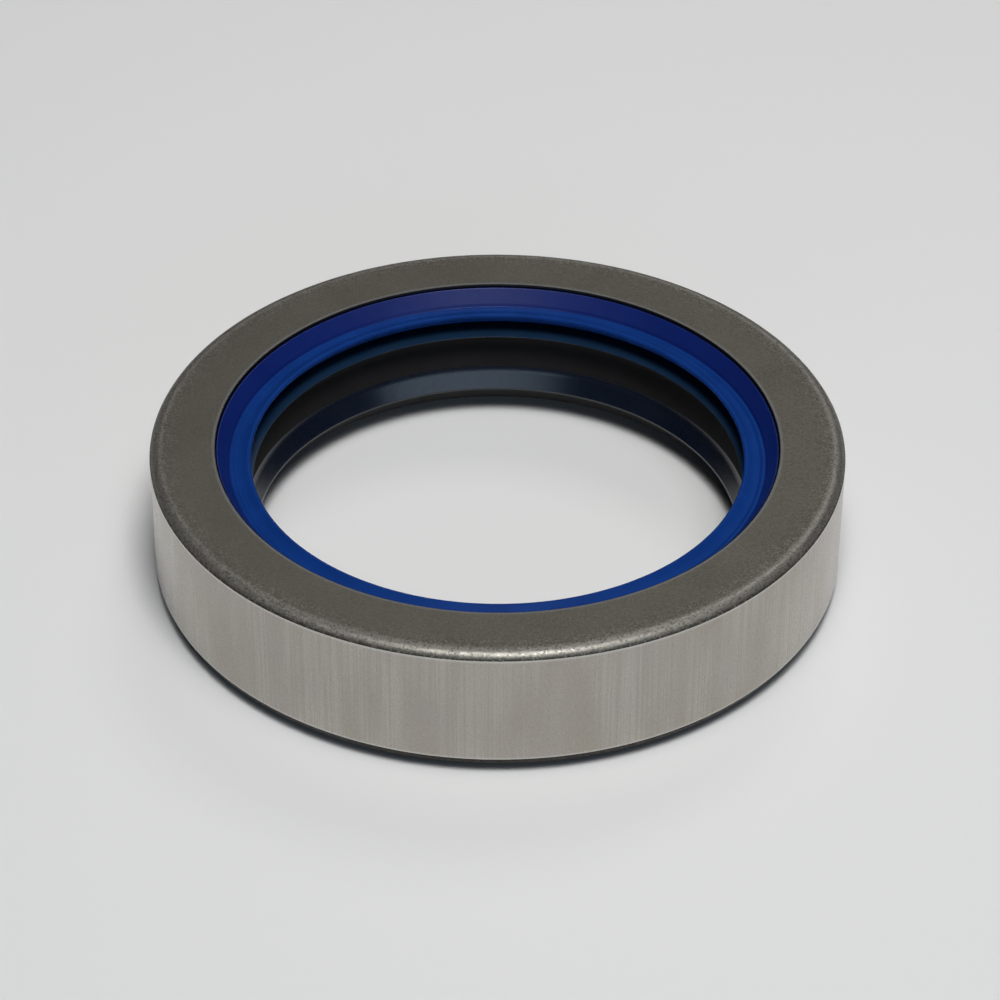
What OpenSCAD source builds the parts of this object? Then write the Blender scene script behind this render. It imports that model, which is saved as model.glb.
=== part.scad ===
// Combined rotary shaft seal: a pressed steel case that holds a polyurethane wiper ring
// on the air side and a spring-loaded rubber lip on the oil side.
// The shaft runs along Z. The air side faces up, and the rolled rim of the oil side lies on z = 0.

/* [Main sizes] */
// Diameter of the shaft that the lips run on
shaft_d = 65; // [61:0.5:68]
// Ground outer diameter that presses into the housing
housing_d = 90; // [88:0.5:96]
// Height of the whole seal
height = 18.5; // [17.5:0.1:20.5]

/* [Outer case] */
// Thickness of the case's sheet
case_t = 0.9; // [0.7:0.05:1.1]
// Depth of metal that is ground off the outer diameter
ground_off = 0.12; // [0.05:0.01:0.2]
// Outside bend radius at the air side
shoulder_r = 1.45; // [1.2:0.05:2]
// Outside bend radius of the rolled rim at the oil side
rim_r = 3.1; // [2.6:0.1:3.4]
// How far the flange reaches inward past the middle of the section
flange_reach = 2; // [1.4:0.02:2.3]
// Rounding of the flange's bore edge on the air side
flange_edge_r = 0.35; // [0.1:0.05:0.4]
// Width of the rolled rim under the inner cup
rim_w = 3.4; // [3.2:0.1:4]
// Thickness of the rolled rim
rim_t = 0.7; // [0.5:0.05:0.8]

/* [Wiper ring] */
// Thickness of the wiper ring where it is clamped
wiper_t = 2.4; // [2.2:0.1:2.6]
// Height of the wiper's collar inside the flange's bore
collar_h = 0.47; // [0.3:0.01:0.5]
// How much smaller than the shaft the wiper's edge is, on the diameter
wiper_grip = 1; // [0.6:0.05:1.4]
// Depth of the wiper's free edge below the flange
edge_drop = 1.4; // [1.3:0.02:1.5]
// Height of the wiper's free edge
edge_land = 0.9; // [0.7:0.05:1]
// Rounding of the free edge on the air side
edge_r = 0.35; // [0.2:0.05:0.4]
// Distance of the step's crest outside the middle of the wiper's free lip
step_shift = 0.29; // [0.1:0.01:0.5]
// Depth of the step's crest below the flange
step_drop = 2.05; // [1.95:0.05:2.15]
// Depth of the groove outside the step's crest
step_groove = 0.12; // [0.08:0.01:0.16]
// Depth of the dished face below the step's crest
dish_drop = 0.35; // [0.2:0.01:0.4]
// Radius of the dished face between the step and the free edge
dish_r = 2.2; // [1.4:0.1:2.6]
// Thickness of the wiper's lip
wiper_lip_t = 1; // [0.8:0.05:1.1]

/* [Backing ring] */
// Thickness of the flat ring that backs the wiper
backing_t = 1; // [0.9:0.1:1.3]
// How far the backing ring reaches inward past the middle of the section
backing_reach = 1.66; // [1:0.02:1.74]
// Clearance of the clamped rings inside the case, on the radius
ring_clear = 0.1; // [0.05:0.01:0.2]

/* [Inner cup] */
// Thickness of the cup that the rubber is bonded to
cup_t = 1; // [0.8:0.05:1.2]
// How far the cup reaches inward past the middle of the section
cup_reach = 1.26; // [0.8:0.02:1.5]
// Outside bend radius of the cup
cup_r = 1.5; // [1.3:0.1:2]

/* [Rubber lip] */
// How much smaller than the shaft the main lip is, on the diameter
main_grip = 1.7; // [1:0.1:2.2]
// Height of the main lip's contact band
main_land = 0.25; // [0.15:0.05:0.4]
// Angle between the shaft and the main lip's air-side face
air_angle = 28; // [25:1:31]
// Height of the air-side face
air_rise = 2.3; // [2:0.1:2.6]
// Angle between the shaft and the neck above the air-side face
neck_angle = 17; // [14:1:20]
// Angle between the shaft and the main lip's oil-side face
oil_angle = 39; // [36:1:43]
// Height of the main lip's contact band above the nose
main_rise = 2.8; // [2.6:0.05:3]
// Gap between the nose and the plane of the rim
nose_gap = 1.5; // [1.2:0.1:1.7]
// Radial gap between the shaft and the throat behind the main lip
throat_gap = 1.5; // [1.4:0.1:1.8]
// Height of the throat's wall
throat_h = 0.9; // [0.6:0.1:1.1]
// Thickness of the membrane that carries the lip's head
membrane_t = 1.5; // [1.2:0.1:1.7]
// How much smaller than the shaft the dust lip is, on the diameter
dust_grip = 1.4; // [0.8:0.1:1.8]
// Depth of the dust lip's edge below the top of the cup
dust_drop = 0.85; // [0.75:0.05:1]
// Height of the dust lip's edge
dust_land = 0.12; // [0.08:0.01:0.2]
// Thickness of the rubber under the cup
skin_t = 1; // [0.7:0.1:1.2]

/* [Garter spring] */
// Outer diameter of the coil
coil_d = 2.1; // [1.9:0.05:2.2]
// Diameter of the spring's wire
wire_d = 0.55; // [0.4:0.05:0.6]
// Number of turns in the closed coil
coil_turns = 180; // [120:10:200]
// Radial gap between the shaft and the middle of the coil
spring_gap = 2; // [1.9:0.05:2.2]
// Height of the coil's middle above the nose
spring_rise = 3.4; // [3.2:0.05:3.6]
// Clearance between the coil and its groove
spring_clear = 0.05; // [0.02:0.01:0.1]

/* [Hidden] */
$fn = 180;

// Largest angle between two points of a rounded corner, and the rounding of sheared sheet edges
arc_step = 15;
sheared_r = 0.15;

// Radii that the pieces share
shaft_r = shaft_d / 2;
ground_r = housing_d / 2;
raw_r = ground_r + ground_off;
wall_r = raw_r - case_t;
section_mid_r = (shaft_r + wall_r) / 2;
flange_r = section_mid_r - flange_reach;
backing_r = section_mid_r - backing_reach;
cup_bore_r = section_mid_r - cup_reach;
cup_leg_r = wall_r - cup_t;
ring_r = wall_r - ring_clear;
inner_shoulder_r = max(shoulder_r - case_t, sheared_r);
inner_rim_r = max(rim_r - case_t, sheared_r);

// Levels that the pieces share, from the air side down
flange_z = height - case_t;
backing_z = flange_z - wiper_t;
cup_z = backing_z - backing_t;
web_z = cup_z - cup_t;

// Wiper: its free edge, the crest of its step and the ends of its underside
wiper_edge_r = shaft_r - wiper_grip / 2;
wiper_edge_z = flange_z - edge_drop;
crest_r = (wiper_edge_r + flange_r) / 2 + step_shift;
crest_z = flange_z - step_drop;
crest_w = 0.3;
dish_z = crest_z - dish_drop;

// Rubber lip: its edges, its neck and throat, its head and the end of its foot under the cup
main_r = shaft_r - main_grip / 2;
main_low_z = nose_gap + main_rise;
main_high_z = main_low_z + main_land;
neck_r = main_r + air_rise * tan(air_angle);
neck_z = main_high_z + air_rise;
throat_r = shaft_r + throat_gap;
throat_z = neck_z + (throat_r - neck_r) / tan(neck_angle);
membrane_r = throat_r + membrane_t;
dust_r = shaft_r - dust_grip / 2;
dust_z = cup_z - dust_drop;
head_bulge = 0.35;
foot_r = (cup_bore_r + cup_leg_r) / 2;

// Garter spring: its seat and the corners of its wire
spring_r = shaft_r + spring_gap;
spring_z = nose_gap + spring_rise;
groove_r = coil_d / 2 + spring_clear;
coil_sides = 6;
coil_rings = coil_turns * coil_sides;
wire_half = wire_d * sqrt(PI) / 4;
coil_mean_r = coil_d / 2 - wire_half;

function unit(v) = v / norm(v);

// Half of the angle at point b between a and c
function half_angle(a, b, c) = acos(unit(a - b) * unit(c - b)) / 2;

// Arc that rounds the corner b between a and c, and takes the length reach of each side
function corner(a, b, c, reach) =
    let (
        u = unit(a - b),
        v = unit(c - b),
        half = half_angle(a, b, c),
        r = reach * tan(half),
        middle = b + unit(u + v) * r / sin(half),
        start = b + u * reach - middle,
        turn = sign(u[1] * v[0] - u[0] * v[1]) * (180 - 2 * half),
        steps = ceil(abs(turn) / arc_step)
    )
    [for (i = [0:steps]) let (t = atan2(start[1], start[0]) + turn * i / steps) middle + r * [cos(t), sin(t)]];

// Outline through the points [radius, level, rounding], with each corner rounded.
// Two roundings that need more than the side between them divide it in proportion
function rounded(points) =
    let (
        n = len(points),
        at = [for (p = points) [p[0], p[1]]],
        need = [
            for (i = [0:n - 1])
                points[i][2] / tan(half_angle(at[(i + n - 1) % n], at[i], at[(i + 1) % n]))
        ]
    )
    [
        for (i = [0:n - 1])
            let (
                back = (i + n - 1) % n,
                next = (i + 1) % n,
                share = [for (k = [back, next]) 0.98 * norm(at[k] - at[i]) / max(need[i] + need[k], 0.001)]
            )
            each need[i] == 0
                ? [at[i]]
                : corner(at[back], at[i], at[next], need[i] * min(1, share[0], share[1]))
    ];

// Pressed cup with its flange, wall and rolled rim, before it is ground
case_section = rounded([
    [flange_r, height, flange_edge_r],
    [flange_r, flange_z, sheared_r],
    [wall_r, flange_z, inner_shoulder_r],
    [wall_r, rim_t, inner_rim_r],
    [wall_r - rim_w, rim_t, sheared_r],
    [wall_r - rim_w, 0, sheared_r],
    [raw_r, 0, rim_r],
    [raw_r, height, shoulder_r]
]);

// Clamped band, collar, cone, step with a groove on each side, dished lip, free edge and underside
wiper_section = rounded([
    [ring_r, flange_z, inner_shoulder_r],
    [flange_r, flange_z, sheared_r],
    [flange_r, flange_z + collar_h, 0],
    [flange_r - collar_h / 4, flange_z + collar_h, collar_h / 4],
    [crest_r + 5 / 3 * crest_w, crest_z + crest_w, crest_w / 4],
    [crest_r + crest_w, crest_z - step_groove, crest_w / 4],
    [crest_r, crest_z, crest_w / 3],
    [crest_r - 3 / 2 * crest_w, dish_z, crest_w / 2],
    [(wiper_edge_r + crest_r) / 2, dish_z + (wiper_edge_z - dish_z) / 4, dish_r],
    [wiper_edge_r, wiper_edge_z, edge_r],
    [wiper_edge_r, wiper_edge_z - edge_land, edge_r / 3],
    [wiper_edge_r + wiper_lip_t, dish_z - wiper_lip_t, wiper_lip_t / 2],
    [(wiper_edge_r + backing_r) / 2 + wiper_lip_t, dish_z - wiper_lip_t, wiper_lip_t],
    [backing_r, backing_z, 0],
    [ring_r, backing_z, sheared_r]
]);

backing_section = rounded([
    [backing_r, backing_z, sheared_r],
    [backing_r, cup_z, sheared_r],
    [ring_r, cup_z, sheared_r],
    [ring_r, backing_z, sheared_r]
]);

// Web on the air side, and the leg that the rolled rim holds, before the rim's bend coins its foot
cup_section = rounded([
    [cup_bore_r, cup_z, 0],
    [cup_bore_r, web_z, 0],
    [cup_leg_r, web_z, max(cup_r - cup_t, sheared_r)],
    [cup_leg_r, rim_t, 0],
    [wall_r, rim_t + inner_rim_r / 2, 0],
    [wall_r, cup_z, cup_r]
]);

// Dust lip, throat, neck, main lip, nose, spring groove, membrane and the foot bonded to the cup
lip_section = rounded([
    [dust_r, dust_z, 0],
    [dust_r, dust_z - dust_land, 0],
    [throat_r, throat_z + throat_h, throat_h],
    [throat_r, throat_z, 2 * throat_h],
    [neck_r, neck_z, 2 * air_rise],
    [main_r, main_high_z, 0],
    [main_r, main_low_z, 0],
    [main_r + main_rise * tan(oil_angle), nose_gap, 0.4],
    [spring_r + groove_r / 2, nose_gap, 0.3],
    [spring_r + groove_r / 2, spring_z - groove_r, 0.15],
    [spring_r - groove_r, spring_z - groove_r, groove_r],
    [spring_r - groove_r, spring_z + groove_r, groove_r],
    [spring_r + groove_r / 2, spring_z + groove_r, 0.2],
    [membrane_r + head_bulge, spring_z + 2 * groove_r, 0.8],
    [membrane_r, throat_z - throat_h, 1.5],
    [membrane_r, web_z - skin_t, 0.9],
    [foot_r, web_z - skin_t, 0.4],
    [foot_r + skin_t / 2, web_z, 0],
    [cup_bore_r, web_z, 0],
    [cup_bore_r, cup_z - sheared_r, 0],
    [backing_r - dust_drop, cup_z - sheared_r, 0.35],
    [backing_r - 1.5 * dust_drop, dust_z, 0.6]
]);

module outer_case() {
    color([0.45, 0.44, 0.41])
        rotate_extrude() intersection() {
            polygon(case_section);
            square([ground_r, height]);
        }
}

module wiper_ring() {
    color([0.07, 0.16, 0.5]) rotate_extrude() polygon(wiper_section);
}

module backing_ring() {
    color([0.6, 0.6, 0.58]) rotate_extrude() polygon(backing_section);
}

module inner_cup() {
    color([0.5, 0.5, 0.48])
        rotate_extrude() difference() {
            polygon(cup_section);
            polygon(case_section);
        }
}

module rubber_lip() {
    color([0.09, 0.1, 0.11]) rotate_extrude() polygon(lip_section);
}

// Wire wound round a ring: each corner of its square section follows the closed helix
module garter_spring() {
    corners = [[1, 1], [-1, 1], [-1, -1], [1, -1]];
    points = [
        for (i = [0:coil_rings - 1], k = corners)
            let (
                a = 360 * i / coil_rings,
                b = 360 * i / coil_sides,
                outward = [cos(a), sin(a), 0],
                out = outward * cos(b) + [0, 0, sin(b)],
                along = unit(
                    coil_turns * coil_mean_r * ([0, 0, cos(b)] - outward * sin(b))
                    + (spring_r + coil_mean_r * cos(b)) * [-sin(a), cos(a), 0]
                ),
                middle = outward * spring_r + [0, 0, spring_z] + out * coil_mean_r
            )
            middle + wire_half * (k[0] * out + k[1] * cross(along, out))
    ];
    faces = [
        for (i = [0:coil_rings - 1], k = [0:3])
            let (
                here = 4 * i,
                next = 4 * ((i + 1) % coil_rings),
                k2 = (k + 1) % 4
            )
            each [[here + k, here + k2, next + k2], [here + k, next + k2, next + k]]
    ];
    color([0.72, 0.72, 0.7]) polyhedron(points, faces);
}

outer_case();
wiper_ring();
backing_ring();
inner_cup();
rubber_lip();
garter_spring();
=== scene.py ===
"""Looks of a combined rotary shaft seal: ground steel case, blue wiper ring, black rubber lip, spring.

Everything is in metres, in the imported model's frame: the shaft runs along Z and the air side is up.
Each ring is turned again from its section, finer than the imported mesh, and the spring is wound again.
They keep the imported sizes, apart from the wiper's edge and step, the dust lip's tip and the spring's
wire, which are noted with their values.
"""

import math

import bpy
import numpy as np
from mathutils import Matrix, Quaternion, Vector


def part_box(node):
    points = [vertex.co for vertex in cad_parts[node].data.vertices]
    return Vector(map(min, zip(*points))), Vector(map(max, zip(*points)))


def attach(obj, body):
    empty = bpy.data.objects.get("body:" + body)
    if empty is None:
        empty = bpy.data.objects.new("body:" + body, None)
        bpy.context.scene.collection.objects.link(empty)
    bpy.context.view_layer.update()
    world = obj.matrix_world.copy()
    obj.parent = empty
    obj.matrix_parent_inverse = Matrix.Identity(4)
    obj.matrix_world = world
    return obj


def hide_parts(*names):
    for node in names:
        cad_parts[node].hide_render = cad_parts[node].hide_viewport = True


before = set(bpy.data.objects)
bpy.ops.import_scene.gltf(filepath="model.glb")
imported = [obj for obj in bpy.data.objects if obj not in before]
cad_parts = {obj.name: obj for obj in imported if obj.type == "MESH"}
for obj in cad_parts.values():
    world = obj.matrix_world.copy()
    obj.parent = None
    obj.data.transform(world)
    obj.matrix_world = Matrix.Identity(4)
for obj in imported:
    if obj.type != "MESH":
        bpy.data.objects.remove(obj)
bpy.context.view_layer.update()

MM = 0.001

# Camera, fitted to the photograph: its height above the horizon, distance and focal length in pixels
CAMERA_ELEVATION = 35.40
CAMERA_DISTANCE = 472.5 * MM
CAMERA_ROLL = -0.004
FOCAL_PIXELS = 3647
PICTURE_PIXELS = 1000
# Where the middle of the air face falls in the picture
FACE_MIDDLE_PIXEL = (497.57, 437.98)
SENSOR_WIDTH = 36

# Fineness of the turned pieces
SEGMENTS = 360
ARC_STEP = math.radians(6)
GUARD = 0.04 * MM

# Packed sizes
case_low, case_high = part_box("outer_case")
wiper_low, wiper_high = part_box("wiper_ring")
backing_low, backing_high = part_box("backing_ring")
cup_low, cup_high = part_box("inner_cup")
lip_low, lip_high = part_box("rubber_lip")
spring_low, spring_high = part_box("garter_spring")

HEIGHT = case_high.z
GROUND_R = case_high.x
WALL_R = cup_high.x
RING_R = wiper_high.x
COLLAR_H = 0.47 * MM
FLANGE_Z = wiper_high.z - COLLAR_H
BACKING_Z = backing_high.z
CUP_Z = cup_high.z
NOSE_Z = lip_low.z
SHAFT_R = 32.5 * MM

# Case
GROUND_OFF = 0.12 * MM
SHOULDER_R = 1.45 * MM
RIM_R = 3.1 * MM
FLANGE_R = 36.36 * MM
FLANGE_EDGE_R = 0.35 * MM
RIM_W = 3.4 * MM
RIM_T = 0.7 * MM
SHEARED_R = 0.15 * MM

# Wiper ring. Its edge and step follow the photograph and lie about 0.5 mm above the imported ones
WIPER_GRIP = 1 * MM
EDGE_DROP = 0.88 * MM
EDGE_LAND = 0.75 * MM
EDGE_R = 0.35 * MM
CREST_R = 34.47 * MM
STEP_DROP = 1.55 * MM
STEP_GROOVE = 0.12 * MM
DISH_DROP = 0.35 * MM
CREST_W = 0.3 * MM
DISH_R = 2.2 * MM
WIPER_LIP_T = 1 * MM

# Backing ring and cup
BACKING_R = 36.70 * MM
CUP_BORE_R = 37.10 * MM
CUP_T = 1 * MM
CUP_R = 1.5 * MM

# Rubber lip. The dust lip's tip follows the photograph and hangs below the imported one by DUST_HANG
MAIN_GRIP = 1.7 * MM
MAIN_LAND = 0.25 * MM
AIR_ANGLE = math.radians(28)
AIR_RISE = 2.3 * MM
NECK_ANGLE = math.radians(17)
OIL_ANGLE = math.radians(39)
MAIN_RISE = 2.8 * MM
THROAT_R = 34 * MM
THROAT_H = 0.9 * MM
MEMBRANE_T = 1.5 * MM
HEAD_BULGE = 0.35 * MM
DUST_GRIP = 1.4 * MM
DUST_DROP = 0.85 * MM
DUST_LAND = 0.12 * MM
DUST_HANG = 0.4 * MM
SKIN_T = 1 * MM
SPRING_CLEAR = 0.05 * MM

# Garter spring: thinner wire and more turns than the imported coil, on the same ring
WIRE_D = 0.38 * MM
COIL_TURNS = 520
COIL_STEPS = 12
WIRE_SIDES = 7

# Spans of radius or level over which one finish of the case passes into another, or into painted highlight
# or painted shade
SPECK_R = (41 * MM, 43.7 * MM)
BEND_R = (43.1 * MM, 43.7 * MM)
# Level over which the shoulder passes from painted shade below to a painted highlight above
SHOULDER_GLINT_Z = (HEIGHT - 0.75 * MM, HEIGHT - 0.45 * MM)
# Level below which the rolled rim carries painted shade
RIM_SHADE_Z = (2.9 * MM, 3.3 * MM)
BORE_DARK_R = (36.56 * MM, 36.62 * MM)
# Radii of the painted highlight round the flange's bore
BORE_HIGHLIGHT_IN_R = (36.62 * MM, 36.70 * MM)
BORE_HIGHLIGHT_OUT_R = (36.85 * MM, 37.05 * MM)
# Levels of the painted highlights at the ground band's top and foot
BAND_TOP_HIGHLIGHT_Z = (HEIGHT - SHOULDER_R + 0.15 * MM, HEIGHT - SHOULDER_R + 0.45 * MM)
BAND_FOOT_HIGHLIGHT_Z = (2.3 * MM, 2.6 * MM)

# Stage: how light the floor is at the front and the back, and where it is so; it is painted lighter towards
# the back as painted light that makes up for the near key lamp's falloff
FLOOR_SIZE = 3
FLOOR_Y = (-0.12, 0.20)
FLOOR_FRONT = (0.67, 0.67, 0.665)
FLOOR_BACK = (0.82, 0.82, 0.81)
# Strength of the world's light, and of the backdrop that the camera sees
FILL = 0.02
BACKDROP = 0.62


# Outlines

def half_angle(a, b, c):
    """Half of the angle at the corner b between a and c."""
    u = (a - b).normalized()
    v = (c - b).normalized()
    return math.acos(max(-1, min(1, u.dot(v)))) / 2


def corner(a, b, c, reach):
    """Arc that rounds the corner b between a and c, and takes the length reach of each side."""
    u = (a - b).normalized()
    v = (c - b).normalized()
    half = half_angle(a, b, c)
    r = reach * math.tan(half)
    middle = b + (u + v).normalized() * (r / math.sin(half))
    start = b + u * reach - middle
    side = u.y * v.x - u.x * v.y
    turn = math.copysign(math.pi - 2 * half, side)
    steps = max(3, math.ceil(abs(turn) / ARC_STEP))
    points = []
    for i in range(steps + 1):
        t = math.atan2(start.y, start.x) + turn * i / steps
        points.append(middle + r * Vector((math.cos(t), math.sin(t))))
    return points


def rounded(corners):
    """Closed outline through (radius, level, rounding) corners, with guard points beside each arc.

    Two roundings that need more than the side between them divide it in proportion.
    """
    at = [Vector(c[:2]) for c in corners]
    count = len(at)
    need = []
    for i in range(count):
        need.append(corners[i][2] / math.tan(half_angle(at[i - 1], at[i], at[(i + 1) % count])))
    arcs = []
    for i in range(count):
        reach = need[i]
        for k in (i - 1, (i + 1) % count):
            if need[i] + need[k] > 0:
                reach = min(reach, 0.98 * (at[k] - at[i]).length * need[i] / (need[i] + need[k]))
        arcs.append(corner(at[i - 1], at[i], at[(i + 1) % count], reach) if reach else [at[i]])
    outline = []
    for i, arc in enumerate(arcs):
        last = arcs[i - 1][-1]
        side = arc[0] - last
        if side.length > 4 * GUARD:
            outline.append(last + side.normalized() * GUARD)
            outline.append(arc[0] - side.normalized() * GUARD)
        outline.extend(arc)
    return outline


def turned(name, outline, material_of=None):
    """Mesh object of a closed outline turned round Z.

    material_of gives a slot for a point's radius and level.
    """
    count = len(outline)
    radius = np.array([p.x for p in outline])
    level = np.array([p.y for p in outline])
    angle = np.linspace(0, 2 * math.pi, SEGMENTS, endpoint=False)[:, None]
    verts = np.stack([radius * np.cos(angle), radius * np.sin(angle), level + 0 * angle], axis=2)
    ring = np.arange(SEGMENTS)[:, None] * count
    next_ring = np.roll(ring, -1, axis=0)
    here = np.arange(count)
    there = np.roll(here, -1)
    faces = np.stack([ring + here, next_ring + here, next_ring + there, ring + there], axis=2)
    mesh = bpy.data.meshes.new(name)
    mesh.from_pydata(verts.reshape(-1, 3).tolist(), [], faces.reshape(-1, 4).tolist())
    if material_of:
        middles = [(outline[i] + outline[(i + 1) % count]) / 2 for i in range(count)]
        slots = [material_of(m.x, m.y) for m in middles]
        mesh.polygons.foreach_set("material_index", slots * SEGMENTS)
    mesh.polygons.foreach_set("use_smooth", [True] * len(mesh.polygons))
    mesh.update()
    piece = bpy.data.objects.new(name, mesh)
    bpy.context.collection.objects.link(piece)
    return piece


# Node helpers

class Nodes:
    """A material's node tree, with short calls for the nodes that these finishes use."""

    def __init__(self, name):
        self.material = bpy.data.materials.new(name)
        self.material.use_nodes = True
        self.tree = self.material.node_tree
        self.shader = self.tree.nodes["Principled BSDF"]
        self.place = self.add("ShaderNodeTexCoord").outputs["Object"]

    def add(self, kind, **settings):
        node = self.tree.nodes.new(kind)
        for key, value in settings.items():
            setattr(node, key, value)
        return node

    def link(self, source, socket):
        if hasattr(source, "is_output"):
            self.tree.links.new(source, socket)
        else:
            socket.default_value = source

    def math(self, operation, a, b=0.0):
        node = self.add("ShaderNodeMath", operation=operation)
        self.link(a, node.inputs[0])
        self.link(b, node.inputs[1])
        return node.outputs[0]

    def noise(self, size, detail=2.0, rough=0.5, squash=(1, 1, 1), place=None):
        """Noise with features of about this size in metres, stretched by squash along each axis."""
        scale = self.add("ShaderNodeVectorMath", operation="MULTIPLY")
        self.link(place or self.place, scale.inputs[0])
        scale.inputs[1].default_value = squash
        node = self.add("ShaderNodeTexNoise")
        self.link(scale.outputs[0], node.inputs["Vector"])
        node.inputs["Scale"].default_value = 1 / size
        node.inputs["Detail"].default_value = detail
        node.inputs["Roughness"].default_value = rough
        return node.outputs["Fac"]

    def grains(self, size):
        """Three random values per crystal of about this size in metres."""
        node = self.add("ShaderNodeTexVoronoi")
        self.link(self.place, node.inputs["Vector"])
        node.inputs["Scale"].default_value = 1 / size
        return node.outputs["Color"]

    def span(self, value, low, high, to_low=0.0, to_high=1.0):
        """Maps low..high to to_low..to_high, held at both ends."""
        node = self.add("ShaderNodeMapRange")
        self.link(value, node.inputs["Value"])
        node.inputs["From Min"].default_value = low
        node.inputs["From Max"].default_value = high
        node.inputs["To Min"].default_value = to_low
        node.inputs["To Max"].default_value = to_high
        return node.outputs["Result"]

    def mix(self, factor, a, b):
        node = self.add("ShaderNodeMix", data_type="RGBA")
        self.link(factor, node.inputs["Factor"])
        for value, socket in ((a, node.inputs["A"]), (b, node.inputs["B"])):
            self.link(value if hasattr(value, "is_output") else (*value, 1), socket)
        return node.outputs["Result"]

    def parts(self, vector):
        return self.add_linked("ShaderNodeSeparateXYZ", vector).outputs

    def add_linked(self, kind, source):
        node = self.add(kind)
        self.link(source, node.inputs[0])
        return node

    def radius(self):
        """Distance from the shaft's axis."""
        x, y, _ = self.parts(self.place)
        return self.math("SQRT", self.math("ADD", self.math("MULTIPLY", x, x), self.math("MULTIPLY", y, y)))

    def bump(self, height, distance, strength=1.0, under=None):
        node = self.add("ShaderNodeBump")
        self.link(strength, node.inputs["Strength"])
        node.inputs["Distance"].default_value = distance
        self.link(height, node.inputs["Height"])
        if under:
            self.link(under, node.inputs["Normal"])
        return node.outputs["Normal"]

    def set(self, **values):
        for name, value in values.items():
            self.link(value, self.shader.inputs[name.replace("_", " ")])


def coated_steel():
    """Phosphated sheet: fine-grained on the flats, speckled on the shoulder with a painted highlight on its
    top, and painted shade on the shoulder's lower part and at the rim.
    """
    n = Nodes("coated_steel")
    cloud = n.noise(9 * MM, 3)
    grain = n.noise(0.22 * MM, 3, 0.6)
    crystal = n.grains(0.22 * MM)
    radius = n.radius()
    level = n.parts(n.place)[2]
    bend = n.span(radius, *BEND_R)
    shade, tilt, speck = n.parts(crystal)
    tint = n.mix(n.span(cloud, 0.3, 0.7), (0.152, 0.142, 0.118), (0.178, 0.166, 0.140))
    tint = n.mix(n.span(grain, 0.3, 0.7, 0.0, 0.5), tint, (0.080, 0.075, 0.061))
    # Painted highlight on the shoulder's top, and painted shade on its lower part and on the rim's bend
    shoulder_glint_and_shade = n.mix(n.span(level, *SHOULDER_GLINT_Z), (0.075, 0.068, 0.055), (0.250, 0.238, 0.212))
    tint = n.mix(bend, tint, shoulder_glint_and_shade)
    # Light and dark crystals, more of them towards the shoulder
    near_bend = n.span(radius, *SPECK_R, 0.08, 0.55)
    light_specks = n.math("MULTIPLY", near_bend, n.span(speck, 0.70, 0.95))
    dark_specks = n.math("MULTIPLY", near_bend, n.span(speck, 0.05, 0.25, 1.0, 0.0))
    tint = n.mix(light_specks, tint, (0.32, 0.308, 0.28))
    tint = n.mix(dark_specks, tint, (0.060, 0.055, 0.045))
    # Painted highlight as a thin light line round the flange's bore, painted shade on the rolled rim, and
    # the dark inside of the bore
    edge = n.math("MULTIPLY", n.span(radius, *BORE_HIGHLIGHT_IN_R), n.span(radius, *BORE_HIGHLIGHT_OUT_R, 1.0, 0.0))
    tint = n.mix(edge, tint, (0.20, 0.202, 0.20))
    # Painted shade on the rolled rim
    tint = n.mix(n.span(level, *RIM_SHADE_Z), (0.030, 0.024, 0.022), tint)
    tint = n.mix(n.span(radius, *BORE_DARK_R), (0.003, 0.004, 0.009), tint)
    n.set(Base_Color=tint, Metallic=0.85)
    rough = n.span(shade, 0, 1, 0.50, 0.74)
    n.set(Roughness=n.math("SUBTRACT", rough, n.math("MULTIPLY", bend, 0.14)))
    coarse = n.bump(tilt, 0.05 * MM, n.span(bend, 0, 1, 0.35, 0.8))
    n.set(Normal=n.bump(grain, 0.012 * MM, 0.5, coarse))
    return n.material


def ground_steel():
    """Ground outer band: bright, in faint patches, with fine upright lines and a painted highlight as a
    light line at each edge.
    """
    n = Nodes("ground_steel")
    chatter = n.noise(0.30 * MM, 0, 0.5, (1, 1, 0.010))
    patch = n.noise(7 * MM, 2, 0.5, (1, 1, 0.25))
    fine = n.noise(0.12 * MM, 2, 0.5, (1, 1, 0.25))
    tint = n.mix(n.span(patch, 0.35, 0.65), (0.382, 0.357, 0.310), (0.415, 0.392, 0.354))
    tint = n.mix(n.span(n.noise(11 * MM, 1), 0.45, 0.65), tint, (0.402, 0.370, 0.343))
    lines = n.math("MULTIPLY", n.span(chatter, 0.40, 0.60), n.span(patch, 0.42, 0.58))
    tint = n.mix(n.math("MULTIPLY", lines, 0.22), tint, (0.60, 0.58, 0.55))
    level = n.parts(n.place)[2]
    # Painted highlights: light lines along the band's top and foot
    edge_highlights = n.math("MAXIMUM", n.span(level, *BAND_TOP_HIGHLIGHT_Z), n.span(level, *BAND_FOOT_HIGHLIGHT_Z, 1.0, 0.0))
    tint = n.mix(n.math("MULTIPLY", edge_highlights, 0.5), tint, (0.68, 0.67, 0.65))
    n.set(Base_Color=tint, Metallic=1.0)
    n.set(Roughness=n.span(fine, 0.3, 0.7, 0.22, 0.3))
    strength = n.math("MULTIPLY", chatter, n.span(patch, 0.45, 0.6))
    n.set(Normal=n.bump(strength, 0.004 * MM, 0.6, n.bump(fine, 0.001 * MM, 0.4)))
    return n.material


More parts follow.
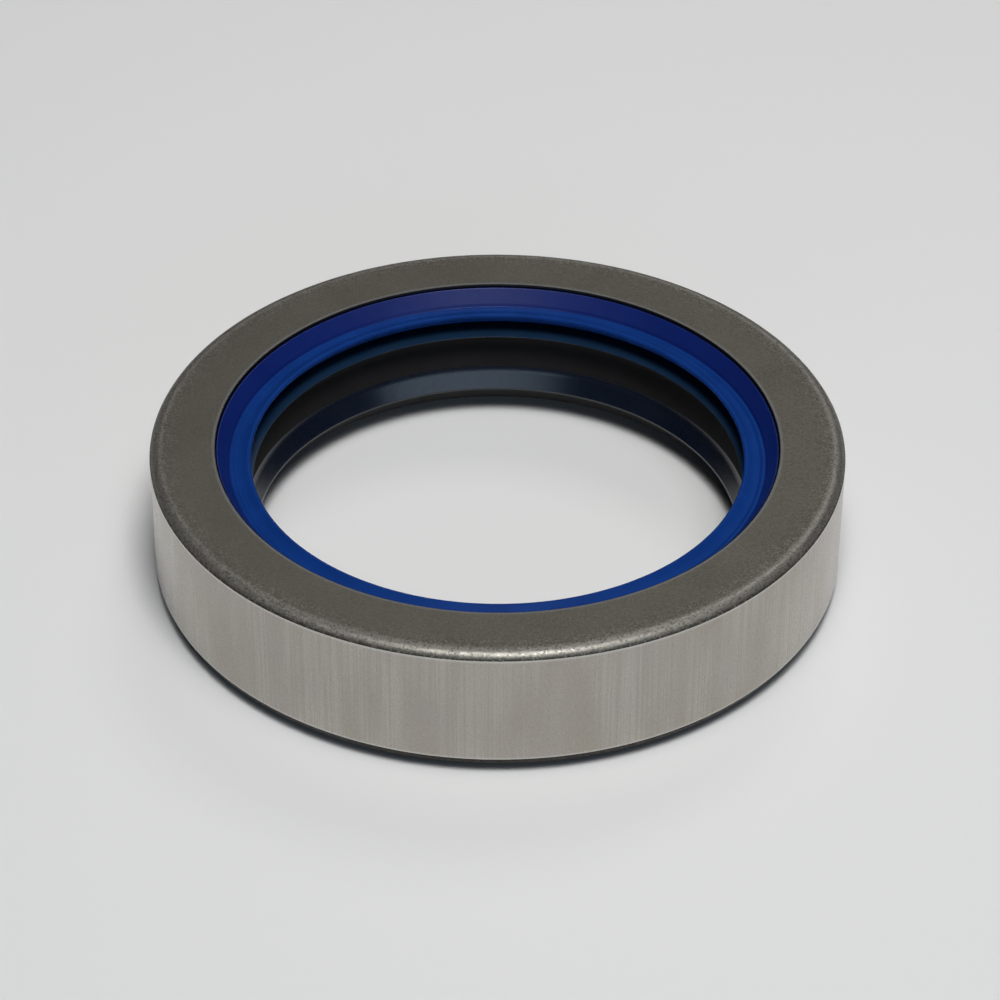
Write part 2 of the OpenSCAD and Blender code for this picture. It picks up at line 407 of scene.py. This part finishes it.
def blue_polyurethane(name, dark, light, rough, specular):
    """Wiper: blue plastic between two shades, with a satin skin of this roughness and specular level."""
    n = Nodes(name)
    tint = n.mix(n.span(n.noise(5 * MM, 2), 0.3, 0.7), dark, light)
    n.set(Base_Color=tint, Roughness=n.span(n.noise(0.5 * MM, 2), 0.3, 0.7, rough, rough + 0.08))
    n.set(Specular_IOR_Level=specular)
    n.set(Normal=n.bump(n.noise(0.15 * MM, 2), 0.002 * MM, 0.3))
    return n.material


def black_rubber(name, dark, light, rough, specular):
    """Moulded nitrile rubber between two near blacks, with this roughness and specular level."""
    n = Nodes(name)
    tint = n.mix(n.span(n.noise(4 * MM, 3), 0.3, 0.7), dark, light)
    n.set(Base_Color=tint, Roughness=n.span(n.noise(0.6 * MM, 2), 0.3, 0.7, rough, rough + 0.04))
    n.set(Specular_IOR_Level=specular)
    n.set(Normal=n.bump(n.noise(0.2 * MM, 3), 0.001 * MM, 0.3))
    return n.material


def inner_steel():
    """Phosphated pressed sheet with round forming marks."""
    n = Nodes("inner_steel")
    rings = n.add("ShaderNodeCombineXYZ")
    n.link(n.radius(), rings.inputs[0])
    n.link(n.parts(n.place)[2], rings.inputs[2])
    drawn = n.noise(0.12 * MM, 2, 0.6, (1, 1, 1), rings.outputs[0])
    tint = n.mix(n.span(n.noise(6 * MM, 3), 0.3, 0.7), (0.20, 0.195, 0.18), (0.27, 0.26, 0.24))
    n.set(Base_Color=tint, Metallic=0.9, Roughness=n.span(drawn, 0.3, 0.7, 0.32, 0.5))
    n.set(Normal=n.bump(drawn, 0.004 * MM, 0.4))
    return n.material


def spring_steel():
    """Drawn spring wire."""
    n = Nodes("spring_steel")
    n.set(Base_Color=n.mix(n.noise(2 * MM, 2), (0.42, 0.41, 0.39), (0.50, 0.49, 0.47)), Metallic=1.0)
    n.set(Roughness=n.span(n.noise(0.1 * MM, 2), 0.3, 0.7, 0.22, 0.36))
    return n.material


# Pieces

def outer_case():
    raw_r = GROUND_R + GROUND_OFF
    case_t = HEIGHT - FLANGE_Z
    section = rounded([
        (FLANGE_R, HEIGHT, FLANGE_EDGE_R),
        (FLANGE_R, FLANGE_Z, SHEARED_R),
        (WALL_R, FLANGE_Z, SHOULDER_R - case_t),
        (WALL_R, RIM_T, RIM_R - case_t),
        (WALL_R - RIM_W, RIM_T, SHEARED_R),
        (WALL_R - RIM_W, 0, SHEARED_R),
        (raw_r, 0, RIM_R),
        (raw_r, HEIGHT, SHOULDER_R),
    ])
    # Grinding cuts the drawn wall back to its final radius
    cut_level = math.sqrt(SHOULDER_R ** 2 - (SHOULDER_R - GROUND_OFF) ** 2)
    foot_level = math.sqrt(RIM_R ** 2 - (RIM_R - GROUND_OFF) ** 2)
    low = RIM_R - foot_level
    high = HEIGHT - SHOULDER_R + cut_level
    band = [Vector((GROUND_R, low + (high - low) * t)) for t in (0, 0.004, 0.25, 0.5, 0.75, 0.996, 1)]
    kept = [p for p in section if p.x < GROUND_R]
    start = max(i for i, p in enumerate(kept) if p.y < low and p.x > WALL_R) + 1
    section = kept[:start] + band + kept[start:]

    def ground(r, z):
        return 1 if r > GROUND_R - 0.001 * MM and low < z < high else 0

    piece = turned("case_shell", section, ground)
    piece.data.materials.append(coated_steel())
    piece.data.materials.append(ground_steel())
    return finish_piece(piece, "outer_case")


def wiper_ring():
    edge_r = SHAFT_R - WIPER_GRIP / 2
    edge_z = FLANGE_Z - EDGE_DROP
    crest_z = FLANGE_Z - STEP_DROP
    dish_z = crest_z - DISH_DROP
    case_t = HEIGHT - FLANGE_Z
    section = rounded([
        (RING_R, FLANGE_Z, SHOULDER_R - case_t),
        (FLANGE_R, FLANGE_Z, SHEARED_R),
        (FLANGE_R, FLANGE_Z + COLLAR_H, 0),
        (FLANGE_R - COLLAR_H / 4, FLANGE_Z + COLLAR_H, COLLAR_H / 4),
        (CREST_R + 5 / 3 * CREST_W, crest_z + CREST_W, CREST_W / 4),
        (CREST_R + CREST_W, crest_z - STEP_GROOVE, CREST_W / 4),
        (CREST_R, crest_z, CREST_W / 3),
        (CREST_R - 3 / 2 * CREST_W, dish_z, CREST_W / 2),
        ((edge_r + CREST_R) / 2, dish_z + (edge_z - dish_z) / 4, DISH_R),
        (edge_r, edge_z, EDGE_R),
        (edge_r, edge_z - EDGE_LAND, EDGE_R / 3),
        (edge_r + WIPER_LIP_T, dish_z - WIPER_LIP_T, WIPER_LIP_T / 2),
        ((edge_r + BACKING_R) / 2 + WIPER_LIP_T, dish_z - WIPER_LIP_T, WIPER_LIP_T),
        (BACKING_R, BACKING_Z, 0),
        (RING_R, BACKING_Z, SHEARED_R),
    ])
    cone_r = CREST_R + CREST_W

    piece = turned("wiper", section, lambda r, z: 0 if r > cone_r else 1)
    # The cone's moulded blue is painted darker than the trimmed lip's as painted shade, where less light
    # falls; the two also differ in roughness and specular level
    moulded = blue_polyurethane("moulded_blue_with_painted_shade", (0.0030, 0.0130, 0.115), (0.0040, 0.0160, 0.130), 0.34, 0.35)
    trimmed = blue_polyurethane("trimmed_blue", (0.004, 0.029, 0.158), (0.005, 0.035, 0.184), 0.45, 0.03)
    piece.data.materials.append(moulded)
    piece.data.materials.append(trimmed)
    return finish_piece(piece, "wiper_ring")


def backing_ring():
    section = rounded([
        (BACKING_R, BACKING_Z, SHEARED_R),
        (BACKING_R, CUP_Z, SHEARED_R),
        (RING_R, CUP_Z, SHEARED_R),
        (RING_R, BACKING_Z, SHEARED_R),
    ])
    piece = turned("backing_plate", section)
    piece.data.materials.append(inner_steel())
    return finish_piece(piece, "backing_ring")


def inner_cup():
    """Web and leg. The leg's foot follows the bend of the case's rim."""
    web_z = CUP_Z - CUP_T
    leg_r = WALL_R - CUP_T
    bend_r = RIM_R - (HEIGHT - FLANGE_Z)
    bend = Vector((WALL_R - bend_r, RIM_T + bend_r))
    foot = [bend + bend_r * Vector((math.cos(t), math.sin(t)))
            for t in np.linspace(-math.acos((leg_r - bend.x) / bend_r), 0, 9)]
    section = rounded([
        (CUP_BORE_R, CUP_Z, 0),
        (CUP_BORE_R, web_z, 0),
        (leg_r, web_z, CUP_R - CUP_T),
        *[(p.x, p.y, 0) for p in foot],
        (WALL_R, CUP_Z, CUP_R),
    ])
    piece = turned("cup", section)
    piece.data.materials.append(inner_steel())
    return finish_piece(piece, "inner_cup")


def rubber_lip():
    web_z = CUP_Z - CUP_T
    main_r = SHAFT_R - MAIN_GRIP / 2
    main_low_z = NOSE_Z + MAIN_RISE
    main_high_z = main_low_z + MAIN_LAND
    neck_r = main_r + AIR_RISE * math.tan(AIR_ANGLE)
    neck_z = main_high_z + AIR_RISE
    throat_z = neck_z + (THROAT_R - neck_r) / math.tan(NECK_ANGLE)
    membrane_r = THROAT_R + MEMBRANE_T
    dust_r = SHAFT_R - DUST_GRIP / 2
    dust_z = CUP_Z - DUST_DROP
    foot_r = (CUP_BORE_R + WALL_R - CUP_T) / 2
    spring_r = spring_high.x - (spring_high.z - spring_low.z) / 2
    spring_z = (spring_high.z + spring_low.z) / 2
    groove_r = (spring_high.z - spring_low.z) / 2 + SPRING_CLEAR
    section = rounded([
        (dust_r, dust_z - DUST_HANG, 0.05 * MM),
        (dust_r, dust_z - DUST_HANG - DUST_LAND, 0.03 * MM),
        (THROAT_R, throat_z + THROAT_H, THROAT_H),
        (THROAT_R, throat_z, 2 * THROAT_H),
        (neck_r, neck_z, 2 * AIR_RISE),
        (main_r, main_high_z, 0.05 * MM),
        (main_r, main_low_z, 0.05 * MM),
        (main_r + MAIN_RISE * math.tan(OIL_ANGLE), NOSE_Z, 0.4 * MM),
        (spring_r + groove_r / 2, NOSE_Z, 0.3 * MM),
        (spring_r + groove_r / 2, spring_z - groove_r, 0.15 * MM),
        (spring_r - groove_r, spring_z - groove_r, groove_r),
        (spring_r - groove_r, spring_z + groove_r, groove_r),
        (spring_r + groove_r / 2, spring_z + groove_r, 0.2 * MM),
        (membrane_r + HEAD_BULGE, spring_z + 2 * groove_r, 0.8 * MM),
        (membrane_r, throat_z - THROAT_H, 1.5 * MM),
        (membrane_r, web_z - SKIN_T, 0.9 * MM),
        (foot_r, web_z - SKIN_T, 0.4 * MM),
        (foot_r + SKIN_T / 2, web_z, 0),
        (CUP_BORE_R, web_z, 0),
        (CUP_BORE_R, CUP_Z - SHEARED_R, 0),
        (BACKING_R - DUST_DROP, CUP_Z - SHEARED_R, 0.35 * MM),
        (BACKING_R - 1.5 * DUST_DROP, dust_z, 0.6 * MM),
    ])

    def finish(r, z):
        """Slot 0 is the moulded rubber, 1 the main lip's air-side face and 2 the dust lip's top, painted
        teal and lighter as blue light thrown from the wiper above.
        """
        if r < BACKING_R and z > dust_z - DUST_HANG - 0.01 * MM:
            return 2
        return 1 if main_low_z < z < neck_z + 0.3 * MM and r < THROAT_R else 0

    piece = turned("lip", section, finish)
    moulded = black_rubber("moulded_rubber", (0.0125, 0.0120, 0.0130), (0.0145, 0.0140, 0.0150), 0.55, 0.06)
    sealing = black_rubber("sealing_rubber", (0.002, 0.005, 0.012), (0.003, 0.006, 0.015), 0.20, 0.75)
    # Painted light: the dust lip's top is painted teal and lighter than black rubber, for blue light thrown
    # from the wiper above
    dust = black_rubber("dust_lip_painted_blue_light", (0.004, 0.018, 0.044), (0.006, 0.022, 0.052), 0.4, 0.3)
    for material in (moulded, sealing, dust):
        piece.data.materials.append(material)
    return finish_piece(piece, "rubber_lip")


def garter_spring():
    """Round wire wound round a ring: one closed tube that follows the helix."""
    coil_r = (spring_high.z - spring_low.z) / 2
    ring_r = spring_high.x - coil_r
    level = (spring_high.z + spring_low.z) / 2
    winding_r = coil_r - WIRE_D / 2
    count = COIL_TURNS * COIL_STEPS
    turn = np.linspace(0, 2 * math.pi, count, endpoint=False)
    wind = turn * COIL_TURNS

    def helix(t, w):
        out = ring_r + winding_r * np.cos(w)
        return np.stack([out * np.cos(t), out * np.sin(t), level + winding_r * np.sin(w)], axis=1)

    middle = helix(turn, wind)
    step = 1e-6
    along = helix(turn + step, wind + step * COIL_TURNS) - middle
    along /= np.linalg.norm(along, axis=1)[:, None]
    hub = np.stack([ring_r * np.cos(turn), ring_r * np.sin(turn), level + 0 * turn], axis=1)
    out = middle - hub
    out -= along * (out * along).sum(1)[:, None]
    out /= np.linalg.norm(out, axis=1)[:, None]
    across = np.cross(along, out)
    verts = []
    for k in range(WIRE_SIDES):
        a = 2 * math.pi * k / WIRE_SIDES
        verts.append(middle + WIRE_D / 2 * (math.cos(a) * out + math.sin(a) * across))
    verts = np.stack(verts, axis=1)
    ring = np.arange(count)[:, None] * WIRE_SIDES
    next_ring = np.roll(ring, -1, axis=0)
    here = np.arange(WIRE_SIDES)
    there = np.roll(here, -1)
    faces = np.stack([ring + here, ring + there, next_ring + there, next_ring + here], axis=2)
    mesh = bpy.data.meshes.new("spring_coil")
    mesh.from_pydata(verts.reshape(-1, 3).tolist(), [], faces.reshape(-1, 4).tolist())
    mesh.polygons.foreach_set("use_smooth", [True] * len(mesh.polygons))
    mesh.update()
    piece = bpy.data.objects.new("spring_coil", mesh)
    bpy.context.collection.objects.link(piece)
    piece.data.materials.append(spring_steel())
    return finish_piece(piece, "garter_spring")


def finish_piece(piece, node):
    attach(piece, "root")
    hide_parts(node)
    return piece


# Stage

def add_floor():
    bpy.ops.mesh.primitive_plane_add(size=FLOOR_SIZE)
    floor = bpy.context.object
    floor.name = "floor"
    n = Nodes("floor")
    # Painted light: lighter towards the back to make up for the key lamp's falloff
    front_to_back = n.span(n.parts(n.place)[1], *FLOOR_Y)
    n.set(Base_Color=n.mix(front_to_back, FLOOR_FRONT, FLOOR_BACK), Roughness=0.6)
    floor.data.materials.append(n.material)


def add_lamp(name, shape, size, tilt, turn, distance, glow, tint=(1, 1, 1)):
    """Soft lamp that faces the seal. glow is how bright its face is, and 1 is white.

    tilt is its angle from the zenith, and turn runs from the front to the right, both in degrees.
    """
    tilt = math.radians(tilt)
    turn = math.radians(turn)
    away = Vector((math.sin(tilt) * math.sin(turn), -math.sin(tilt) * math.cos(turn), math.cos(tilt)))
    data = bpy.data.lights.new(name, "AREA")
    data.shape = shape
    data.size, data.size_y = size
    area = size[0] * size[1] * (math.pi / 4 if shape == "ELLIPSE" else 1)
    data.energy = math.pi * glow * area
    data.color = tint
    lamp = bpy.data.objects.new(name, data)
    lamp.location = away * distance
    lamp.rotation_mode = "QUATERNION"
    lamp.rotation_quaternion = away.to_track_quat("Z", "Y")
    bpy.context.collection.objects.link(lamp)
    return lamp


def add_world():
    """Dim fill light, behind which the camera sees a backdrop as pale as the floor."""
    world = bpy.data.worlds.new("studio")
    bpy.context.scene.world = world
    world.use_nodes = True
    nodes = world.node_tree.nodes
    sky = nodes["Background"]
    sky.inputs["Color"].default_value = (1, 1, 1, 1)
    path = nodes.new("ShaderNodeLightPath")
    strength = nodes.new("ShaderNodeMapRange")
    strength.inputs["To Min"].default_value = FILL
    strength.inputs["To Max"].default_value = BACKDROP
    world.node_tree.links.new(path.outputs["Is Camera Ray"], strength.inputs["Value"])
    world.node_tree.links.new(strength.outputs["Result"], sky.inputs["Strength"])


def add_camera():
    data = bpy.data.cameras.new("camera")
    data.lens = SENSOR_WIDTH * FOCAL_PIXELS / PICTURE_PIXELS
    data.sensor_width = SENSOR_WIDTH
    data.clip_start = 0.01
    data.clip_end = 10
    camera = bpy.data.objects.new("camera", data)
    bpy.context.collection.objects.link(camera)
    half = PICTURE_PIXELS / 2
    off = Vector((FACE_MIDDLE_PIXEL[0] - half, half - FACE_MIDDLE_PIXEL[1], -FOCAL_PIXELS))
    tilt = Quaternion((1, 0, 0), math.radians(90 - CAMERA_ELEVATION))
    roll = Quaternion((0, 0, 1), -CAMERA_ROLL)
    turn = Vector((0, 0, -1)).rotation_difference(off)
    camera.rotation_mode = "QUATERNION"
    camera.rotation_quaternion = tilt @ roll @ turn.inverted()
    camera.location = Vector((0, 0, HEIGHT)) - tilt @ Vector((0, 0, -CAMERA_DISTANCE))
    bpy.context.scene.camera = camera


outer_case()
wiper_ring()
backing_ring()
inner_cup()
rubber_lip()
garter_spring()

add_floor()
add_world()
add_lamp("key", "ELLIPSE", (0.19, 0.19), 20, 12, 0.6, 20.0)
add_lamp("key_halo", "ELLIPSE", (1.38, 1.38), 17.5, 18, 2.0, 3.6)
add_lamp("front_window", "ELLIPSE", (2.70, 0.30), 69.5, 12, 1.55, 1.6, (0.64, 0.82, 1.0))
add_lamp("back_window", "RECTANGLE", (0.60, 0.55), 42, 165, 1.55, 3.0)
add_camera()
bpy.context.scene.view_settings.view_transform = "Standard"
